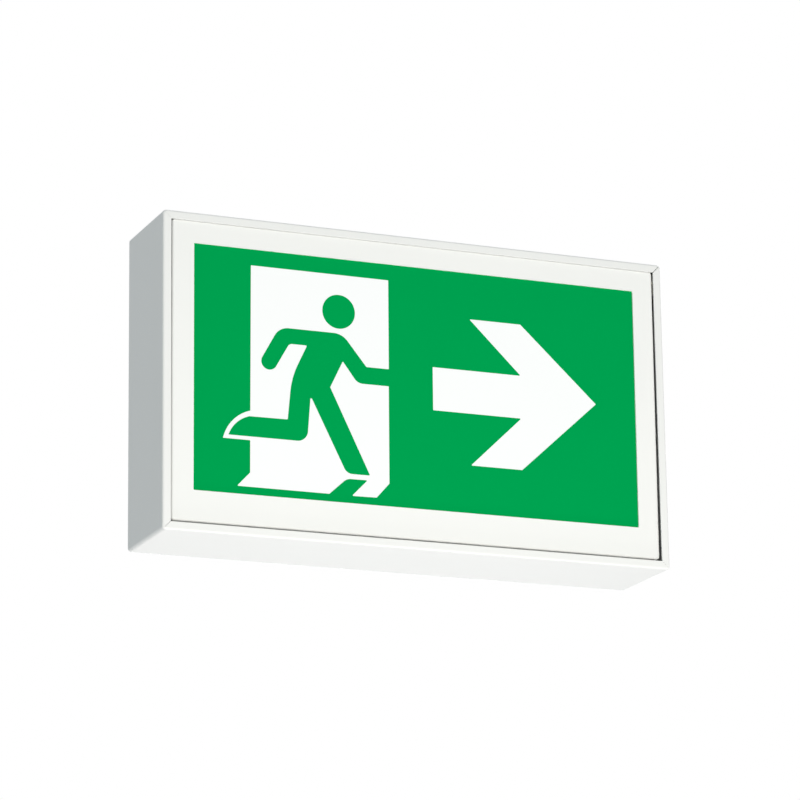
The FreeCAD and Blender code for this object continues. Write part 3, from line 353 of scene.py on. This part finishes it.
start_afresh()
bpy.ops.mesh.primitive_cube_add(size=1, location=(0, 0, resistor_height / 2))
resistor = bpy.context.object
resistor.scale = (resistor_length, resistor_width, resistor_height)
settle(resistor)
bpy.ops.object.mode_set(mode="EDIT")
for end in (-1, 1):
    bpy.ops.mesh.select_all(action="SELECT")
    bpy.ops.mesh.bisect(plane_co=(end * (resistor_length / 2 - resistor_cap), 0, 0), plane_no=(1, 0, 0))
for end in (-1, 1):
    pick_faces(resistor, lambda centre, normal: normal.x * end > 0.9)
    bpy.ops.mesh.extrude_region_move(TRANSFORM_OT_translate={"value": (end * solder_reach, 0, 0)})
    bpy.ops.transform.resize(value=(1, 1, 0.2), center_override=(0, 0, 0))
bpy.ops.mesh.select_all(action="SELECT")
bpy.ops.mesh.bevel(offset=resistor_rounding, segments=2, affect="EDGES")
bpy.ops.object.mode_set(mode="OBJECT")
for finish in (moulded("resistor ceramic", (0.82, 0.82, 0.8), 0.3, 0.08), tinned("resistor ends"),
               moulded("resistor print", (0.02, 0.02, 0.022), 0.2, 0.08)):
    resistor.data.materials.append(finish.material)
for face in resistor.data.polygons:
    capped = abs(face.center.x) > resistor_length / 2 - resistor_cap
    face.material_index = 1 if capped else 2 if face.center.z > 0.9 * resistor_height else 0

board_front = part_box("led_board_upper")[0][1]
onto_board = Matrix.Rotation(math.pi / 2, 4, "X")
for row_name, row in (("upper", upper_row), ("lower", lower_row)):
    for number in range(light_count - 1):
        x = light_pitch * (number - (light_count - 1) / 2) + resistor_beside_light
        spot = Matrix.Translation((x / 1000, board_front, (row + resistor_above_row) / 1000))
        copy = bpy.data.objects.new(f"resistor_{row_name}_{number + 1}", resistor.data.copy())
        bpy.context.scene.collection.objects.link(copy)
        copy.data.transform(spot @ onto_board)
        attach(copy, "housing")
bpy.data.objects.remove(resistor)


# ---- Battery --------------------------------------------------------------------------------------
# Three nickel cells in line in a shrunk blue sleeve, which draws in at the joints and wrinkles at the
# ends. Two sprung steel clips, welded to the back, hold it.

cells = 3

sleeve = Finish("shrunk blue sleeve", {"Specular IOR Level": 0.5})
battery_low, battery_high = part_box("battery_pack")
cell_length = 1000 * (battery_high[0] - battery_low[0]) / cells
near_joint = sleeve.along("X", 1000 * battery_low[0]).repeat(cell_length).size()
draw = 1 - near_joint.beyond(2.5, 5.0)
wrinkles = sleeve.grain(1.6, 3.0, (1, 6, 6)) * draw
wash = sleeve.grain(12.0)
sleeve.feed("Base Color", sleeve.blend(wash, (0.025, 0.12, 0.4), (0.04, 0.16, 0.47)))
sleeve.feed("Roughness", 0.22 + 0.1 * wash + 0.15 * draw)
sleeve.raise_by(wrinkles, 0.3)
coat(sleeve, "battery_pack")

spring = Finish("blued spring steel", {"Metallic": 1.0})
rolled = spring.grain(0.3, 3.0)
temper = spring.grain(7.0)
spring.feed("Base Color", spring.blend(temper, (0.3, 0.33, 0.42), (0.42, 0.39, 0.36)))
spring.feed("Roughness", 0.28 + 0.14 * rolled)
spring.raise_by(rolled, 0.01)
coat(spring, "battery_clips")


# ---- Converter ------------------------------------------------------------------------------------
# The electronics that charge the battery and feed the strips, sealed in a grey moulded case with a
# snap-on lid and screwed to the back through its two ears.

coat(moulded("grey case moulding", (0.6, 0.615, 0.63), 0.5, 0.45), "converter_case")
coat(moulded("grey lid moulding", (0.56, 0.575, 0.59), 0.42, 0.6), "converter_lid")
zinc("zinc plate on the converter's screws", "converter_screws")


# ---- Mains terminals and earth --------------------------------------------------------------------
# A nylon block with brass clamping screws, and beside it the welded stud on which a zinc-plated nut
# and washers hold the earth lead's brass tag.

coat(moulded("nylon terminal block", (0.8, 0.8, 0.75), 0.42), "terminal_block")
zinc("zinc plate on the earth stud", "earth_stud", "earth_nut_and_washers")

yellow_metal = Finish("plain brass", {"Metallic": 1.0})
tarnish = yellow_metal.grain(1.5, 3.0)
cut_lines = yellow_metal.grain(0.2, 2.0)
yellow_metal.feed("Base Color", yellow_metal.blend(tarnish, (0.78, 0.56, 0.24), (0.6, 0.42, 0.2)))
yellow_metal.feed("Roughness", 0.22 + 0.15 * tarnish)
yellow_metal.raise_by(cut_lines, 0.01)
coat(yellow_metal, "terminal_screws", "earth_tag")


# ---- Test switch and status light -----------------------------------------------------------------
# A push switch through the right-hand wall, its barrel held by a nut inside, with a red sprung
# button, and below it a green charging light in a chromed holder.

coat(moulded("black switch moulding", (0.02, 0.02, 0.023), 0.2), "test_switch_body")
zinc("zinc plate on the switch's nut", "test_switch_nut")
coat(moulded("red button moulding", (0.5, 0.022, 0.018), 0.2), "test_button")

lamp = Finish("green tinted lamp", {"Specular IOR Level": 0.6, "Emission Strength": 0.55})
lamp_swirl = lamp.grain(1.2)
lamp.feed("Base Color", lamp.blend(lamp_swirl, (0.02, 0.42, 0.08), (0.03, 0.5, 0.12)))
lamp.feed("Emission Color", lamp.blend(lamp_swirl, (0.03, 0.75, 0.14), (0.05, 0.9, 0.2)))
lamp.feed("Roughness", 0.08 + 0.06 * lamp_swirl)
lamp.raise_by(lamp_swirl, 0.02)
coat(lamp, "status_light")

chrome = Finish("chrome plate", {"Metallic": 1.0})
smear = chrome.grain(3.0, 3.0)
chrome.feed("Base Color", chrome.blend(smear, (0.72, 0.725, 0.73), (0.6, 0.61, 0.62)))
chrome.feed("Roughness", 0.06 + 0.1 * smear)
chrome.raise_by(smear, 0.005)
coat(chrome, "status_light_holder")


# ---- Leads ----------------------------------------------------------------------------------------
# Single-core leads in extruded PVC, in the colours of their duties. The earth lead's yellow stripe
# covers one half of its skin.

def insulation(name, colour):
    pvc = Finish(name, {"Specular IOR Level": 0.45})
    drag = pvc.grain(0.8, 2.0)
    pvc.feed("Base Color", pvc.blend(drag, shade_of(colour, 0.92), shade_of(colour, 1.06)))
    pvc.feed("Roughness", 0.3 + 0.18 * drag)
    pvc.raise_by(drag, 0.015)
    return pvc


for duty, colour, nodes in (
        ("red", (0.52, 0.02, 0.015), ("battery_lead_positive", "led_leads_positive")),
        ("black", (0.018, 0.018, 0.018), ("battery_lead_negative", "led_leads_negative")),
        ("brown", (0.16, 0.055, 0.022), ("mains_lead_live",)),
        ("blue", (0.018, 0.09, 0.45), ("mains_lead_neutral",)),
        ("violet", (0.22, 0.065, 0.32), ("test_switch_leads",)),
        ("white", (0.8, 0.8, 0.77), ("status_light_leads",))):
    coat(insulation(duty + " insulation", colour), *nodes)

earth_lead_radius = 0.9
earth = insulation("striped insulation", (0.08, 0.3, 0.04))
earth_low, earth_high = [[1000 * part for part in corner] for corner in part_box("earth_lead")]
rise = (earth_high[2] - earth_low[2] - 2 * earth_lead_radius) / (earth_high[0] - earth_low[0])
above_axis = earth.along("Z", earth_low[2] + earth_lead_radius) - rise * earth.along("X", earth_low[0])
earth.feed("Base Color", earth.blend(above_axis.beyond(0.0, 0.08), (0.06, 0.3, 0.045), (0.78, 0.62, 0.02)))
coat(earth, "earth_lead")


# ---- Hinge ----------------------------------------------------------------------------------------
# Two joggled steel lugs, spot-welded inside the side walls, and the headed pins that join the door's
# side flanges to them.

zinc("zinc plate on the hinge", "hinge_brackets", "hinge_pins", brushed=(1, 1, 10))


# ---- Door frame -----------------------------------------------------------------------------------
# A shallow steel tray, cut out round the legend, that closes inside the housing's lips. It's coated
# on its own rack, so its orange peel isn't quite the housing's.

door_white = (0.9, 0.908, 0.89)
coat(powder_coat("white powder coat on the door", door_white, 2.6), "door_frame")


# ---- Legend plate ---------------------------------------------------------------------------------
# A sheet of opal acrylic that spreads the light of the strips behind it. Its front glows an even
# white; its back and edges are plain polished opal.

glow_depth = 0.4

plate_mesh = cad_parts["legend_plate"].data
front_faces = [face for face in plate_mesh.polygons if face.normal.y < -0.9]
outwards = front_faces[0].normal.copy()
corners = {tuple(plate_mesh.vertices[index].co) for face in front_faces for index in face.vertices}
plate_centre = sum((Vector(corner) for corner in corners), Vector()) / len(corners)

opal = Finish("opal acrylic", {"Specular IOR Level": 0.25, "Emission Strength": 0.555})
outside = opal.place.node("ShaderNodeVectorMath", {"operation": "DOT_PRODUCT"},
                          {0: opal.place, 1: outwards}, "Value") * 1000.0
glow = outside.beyond(1000 * plate_centre.dot(outwards) - glow_depth, 0.3)
milk = opal.grain(30.0, 1.0)
opal.feed("Base Color", opal.blend(glow, (0.79, 0.8, 0.795), opal.blend(
    milk, (0.415, 0.42, 0.42), (0.41, 0.415, 0.417))))
opal.feed("Emission Color", opal.blend(glow, (0.0, 0.0, 0.0), (0.975, 1.0, 0.99)))
opal.feed("Roughness", 0.3 + 0.1 * milk)
opal.raise_by(milk, 0.02)
coat(opal, "legend_plate")


# ---- Legend film ----------------------------------------------------------------------------------
# Translucent green vinyl, cut round the doorway, the running figure and the arrow, and laid on the
# plate's front. It reaches a little past the window, under the edges of the door frame.

straight_handle = 0.01


def outline(film, points):
    """Adds a closed outline through corners (x, z, radius) in millimetres, each rounded to its radius."""
    curve = film.splines.new("BEZIER")
    curve.bezier_points.add(2 * len(points) - 1)
    curve.use_cyclic_u = True
    for number, (x, z, radius) in enumerate(points):
        corner = Vector((x, z, 0))
        back = (Vector((*points[number - 1][:2], 0)) - corner).normalized()
        on = (Vector((*points[(number + 1) % len(points)][:2], 0)) - corner).normalized()
        turn = math.pi - back.angle(on)
        trim = radius * math.tan(turn / 2)
        pull = radius * 4 / 3 * math.tan(turn / 4)
        before, after = curve.bezier_points[2 * number], curve.bezier_points[2 * number + 1]
        for way, point, far, near in ((back, before, "handle_left", "handle_right"),
                                      (on, after, "handle_right", "handle_left")):
            tangent = corner + way * trim
            point.handle_left_type = point.handle_right_type = "FREE"
            point.co = tangent
            setattr(point, far, tangent + way * straight_handle)
            setattr(point, near, tangent - way * pull)


film_thickness = 0.12
film_clearance = 0.02
film_size = (305.0, 161.2)
film_offset = (0.46, 0.06)
drawing_stretch = (1.0024, 1.0073)
drawing_lean = 0.004
drawing_offset = (0.31, -0.28)
head_centre, head_radius = (-54.7, 43.8), 10.85
shortest_run = 0.02
sharp = 0.4

field = [(side * film_size[0] / 2, end * film_size[1] / 2, 1.0)
         for side, end in ((-1, 1), (1, 1), (1, -1), (-1, -1))]
doorway_and_figure = [
    (-112.9, 67.7, sharp), (-21.2, 67.6, sharp), (-21.2, 10.1, sharp),
    (-36.3, 10.1, 1.0), (-52.4, 29.9, 12.0), (-94.1, 29.9, 10.5), (-107.7, 5.7, 5.2), (-98.7, 0.5, 5.2),
    (-87.5, 20.1, 3.5), (-75.7, 20.1, 0.6), (-85.9, -1.0, 55.0), (-88.5, -28.0, 0.8),
    (-113.6, -28.2, sharp), (-123.1, -31.5, 20.0), (-127.1, -40.8, 0.2),
    (-75.7, -40.8, 7.0), (-73.6, -13.3, sharp), (-72.6, -13.3, sharp),
    (-49.6, -58.7, 6.0), (-34.2, -58.7, 0.5), (-60.5, -5.0, 1.0), (-52.0, 12.3, sharp),
    (-42.2, -0.8, 7.0), (-21.3, -0.8, sharp), (-21.3, -62.7, sharp), (-29.9, -72.3, sharp),
    (-46.3, -72.5, sharp), (-35.9, -61.9, sharp), (-49.6, -62.0, 7.0), (-61.2, -72.4, sharp),
    (-121.5, -72.3, sharp), (-113.0, -63.4, sharp), (-113.0, -43.2, sharp),
    (-130.7, -43.2, 0.2), (-127.6, -28.5, 25.8), (-113.0, -24.6, sharp)]
head = [(head_centre[0] + side * head_radius, head_centre[1] + end * head_radius,
         head_radius - shortest_run) for side, end in ((-1, 1), (1, 1), (1, -1), (-1, -1))]
arrow = [(8.4, 14.4, sharp), (68.7, 14.4, sharp), (33.8, 47.9, sharp), (69.1, 47.9, sharp),
         (121.0, 0.6, sharp), (68.9, -46.6, sharp), (33.8, -46.6, sharp), (68.8, -13.4, sharp),
         (8.5, -13.4, sharp)]


def on_film(corners):
    """The drawing's corners where they come on the film: a hair larger than drawn, and out of square."""
    return [(drawing_stretch[0] * x + drawing_lean * z + drawing_offset[0],
             drawing_stretch[1] * z + drawing_offset[1], radius) for x, z, radius in corners]


start_afresh()
drawing = bpy.data.curves.new("legend_film", "CURVE")
drawing.dimensions = "2D"
drawing.fill_mode = "BOTH"
drawing.resolution_u = 16
for points in (field, on_film(doorway_and_figure), on_film(head), on_film(arrow)):
    outline(drawing, points)
film = bpy.data.objects.new("legend_film", drawing)
bpy.context.scene.collection.objects.link(film)
bpy.context.view_layer.objects.active = film
film.select_set(True)
bpy.ops.object.convert(target="MESH")
film = bpy.context.object
bpy.ops.object.mode_set(mode="EDIT")
bpy.ops.mesh.select_all(action="SELECT")
bpy.ops.mesh.remove_doubles(threshold=0.001)
bpy.ops.object.mode_set(mode="OBJECT")
if film.data.polygons[0].normal.z < 0:
    film.data.flip_normals()
wall = film.modifiers.new("thickness", "SOLIDIFY")
wall.thickness = film_thickness
wall.offset = 1.0
bpy.ops.object.modifier_apply(modifier=wall.name)

upwards = Vector((0, outwards.z, -outwards.y))
plate_plane = Matrix((Vector((1, 0, 0)), upwards, outwards)).transposed().to_4x4()
plate_plane.translation = plate_centre
shift = Matrix.Translation((*film_offset, film_clearance))
settle(film, plate_plane @ Matrix.Scale(0.001, 4) @ shift)

green = Finish("translucent green vinyl", {"Specular IOR Level": 0.0, "Emission Strength": 1.0,
                                           "Emission Color": (0.0, 0.05, 0.0113, 1)})
cast = green.grain(25.0, 1.0)
pebble = green.grain(0.5)
green.feed("Base Color", green.blend(cast, (0.0, 0.302, 0.069), (0.0, 0.294, 0.067)))
green.feed("Roughness", 0.35 + 0.15 * pebble)
green.raise_by(pebble, 0.008)
film.data.materials.append(green.material)
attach(film, "door")


# ---- Plate strips ---------------------------------------------------------------------------------
# Two Z-section strips press the plate and film against the door's face. Their nuts run on studs that
# are welded to the back of it.

zinc("zinc plate on the strips", "retaining_strip_upper", "retaining_strip_lower", brushed=(14, 1, 1))
zinc("zinc plate on the strips' nuts", "strip_nuts")
zinc("zinc plate on the studs", "door_studs")


# ---- Magnetic catches -----------------------------------------------------------------------------
# Two black mouldings on the bottom wall. In each, a ferrite block lies between two steel pole plates,
# and the door's foot closes on the plates' edges.

coat(moulded("black catch moulding", (0.025, 0.025, 0.027), 0.45, 0.5), "catch_bodies")
pole_plate = 1.5
magnet_low, magnet_high = [[1000 * part for part in corner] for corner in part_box("catch_magnets")]
poles = Finish("pole plates and ferrite", {})
off_middle = poles.along("Z", (magnet_low[2] + magnet_high[2]) / 2).size()
steel = off_middle.beyond((magnet_high[2] - magnet_low[2]) / 2 - pole_plate, 0.1)
sinter = poles.grain(0.3, 3.0)
poles.feed("Base Color", poles.blend(steel, (0.035, 0.034, 0.034), (0.6, 0.61, 0.63)))
poles.feed("Metallic", steel)
poles.feed("Roughness", 0.62 - 0.3 * steel + 0.15 * sinter)
poles.raise_by(0.7 * steel + 0.3 * sinter, 0.15)
coat(poles, "catch_magnets")


# ---- Floor ----------------------------------------------------------------------------------------
# Pale painted floor of the room, well below the light. It looks paler than the light it throws back.

def looked_at(value):
    """1 for a ray from the camera, from gloss or through clear plastic, and 0 for a ray of plain light."""
    rays = value.node("ShaderNodeLightPath").socket.node.outputs
    seen = Value(value.tree, rays["Is Camera Ray"])
    for kind in ("Is Glossy Ray", "Is Transmission Ray"):
        seen = seen.math("MAXIMUM", seen, Value(value.tree, rays[kind]))
    return seen


floor_size = 14
floor_drop = 2.2
floor_paleness = 0.85

start_afresh()
bpy.ops.mesh.primitive_plane_add(size=floor_size, location=(0, 0, -floor_drop))
floor = bpy.context.object
floor.name = "floor"
settle(floor)
floor_paint = Finish("pale floor", {"Roughness": 0.7})
worn = floor_paint.grain(400.0)
floor_paint.feed("Base Color", floor_paint.blend(worn, (0.8, 0.8, 0.79), (0.78, 0.78, 0.77)))
paint_seen = floor_paint.place.node("ShaderNodeMixShader", None, {
    0: floor_paleness * looked_at(floor_paint.place),
    1: Value(floor_paint.place.tree, floor_paint.shader.outputs[0]),
    2: floor_paint.place.node("ShaderNodeEmission", None, {"Color": (1.0, 1.0, 1.0), "Strength": 1.0})})
floor_output = floor_paint.material.node_tree.nodes["Material Output"]
floor_paint.material.node_tree.links.new(paint_seen.socket, floor_output.inputs["Surface"])
floor.data.materials.append(floor_paint.material)


# ---- Light ----------------------------------------------------------------------------------------
# An even, faintly cool room with white walls, and three soft lamps: one low in front, one below and
# one behind, to the right.

room_colour, room_strength = (0.9, 0.97, 1.0), 0.51

world = bpy.data.worlds.new("studio")
bpy.context.scene.world = world
world.use_nodes = True
world.node_tree.nodes.clear()
air = Value(world.node_tree)
walls = air.node("ShaderNodeMixShader", None, {
    0: looked_at(air),
    1: air.node("ShaderNodeBackground", None, {"Color": room_colour, "Strength": room_strength}),
    2: air.node("ShaderNodeBackground", None, {"Color": (1.0, 1.0, 1.0), "Strength": 1.0})})
world_output = world.node_tree.nodes.new("ShaderNodeOutputWorld")
world.node_tree.links.new(walls.socket, world_output.inputs["Surface"])


def softbox(name, towards, distance, size, watts, colour):
    """A square lamp that faces the light from a direction."""
    way = Vector(towards).normalized()
    lamp = bpy.data.lights.new(name, "AREA")
    lamp.shape = "SQUARE"
    lamp.size = size
    lamp.energy = watts
    lamp.color = colour
    holder = bpy.data.objects.new(name, lamp)
    holder.location = way * distance
    holder.rotation_euler = way.to_track_quat("Z", "Y").to_euler()
    holder.visible_camera = False
    bpy.context.scene.collection.objects.link(holder)


softbox("front lamp", (0.0, -0.92, -0.39), 1.5, 0.7, 13.5, (1.0, 0.95, 0.89))
softbox("floor lamp", (0.06, -0.15, -1.0), 1.6, 0.5, 6.8, (1.0, 0.97, 1.0))
softbox("rear lamp", (0.35, 1.0, 0.05), 2.4, 1.0, 24, (1.0, 0.97, 0.93))


# ---- Camera ---------------------------------------------------------------------------------------
# Low and to the left of the light, level enough to keep its uprights nearly upright.

azimuth = math.radians(22.813)
elevation = math.radians(15.27)
roll = math.radians(-0.823)
focal_length = 171.59
standpoint = (-0.9013, -2.1752, -0.6311)

forward = Vector((math.sin(azimuth) * math.cos(elevation),
                  math.cos(azimuth) * math.cos(elevation), math.sin(elevation)))
level = Vector((math.cos(azimuth), -math.sin(azimuth), 0))
above_level = level.cross(forward)
right = level * math.cos(roll) + above_level * math.sin(roll)
up = right.cross(forward)
lens = bpy.data.cameras.new("camera")
lens.lens = focal_length
camera = bpy.data.objects.new("camera", lens)
facing = Matrix((right, up, -forward)).transposed().to_4x4()
camera.matrix_world = Matrix.Translation(standpoint) @ facing
bpy.context.scene.collection.objects.link(camera)
bpy.context.scene.camera = camera
bpy.context.scene.view_settings.view_transform = "Standard"
